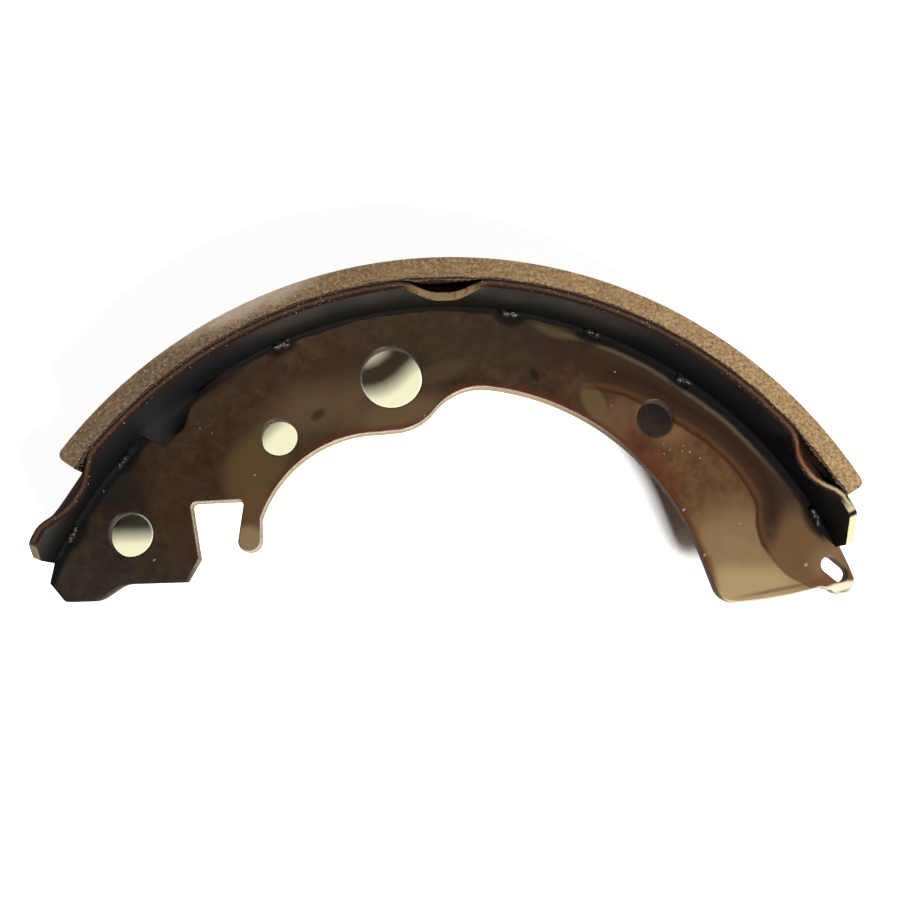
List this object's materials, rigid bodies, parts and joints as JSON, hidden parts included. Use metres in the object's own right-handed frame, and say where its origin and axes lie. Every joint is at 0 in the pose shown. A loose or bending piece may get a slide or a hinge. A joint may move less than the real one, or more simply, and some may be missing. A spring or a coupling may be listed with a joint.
{
  "type": "drum brake shoe",
  "caption": "Bonded drum brake shoe: flat stamped web welded under a curved steel rim that carries a friction lining on its outer face, lying on its side.",
  "frame": {"origin": "under the middle of the shoe's box, on the plane that the lower rim edge rests on", "axes": "+Z along the drum axis, away from the surface it lies on; +Y from the drum axis through the crown of the arc; +X from the toe end to the heel end"},
  "size_m": [0.177, 0.075, 0.035],
  "materials": {
    "web_varnish": "gloss",
    "rim_varnish": "satin",
    "friction_compound": "matte",
    "cured_adhesive": "satin",
    "weld_metal": "satin"
  },
  "bodies": {
    "root": {"web": "web_varnish", "rim": "rim_varnish", "lining": "friction_compound", "bond": "cured_adhesive", "weld_beads": "weld_metal"}
  },
  "joints": []
}
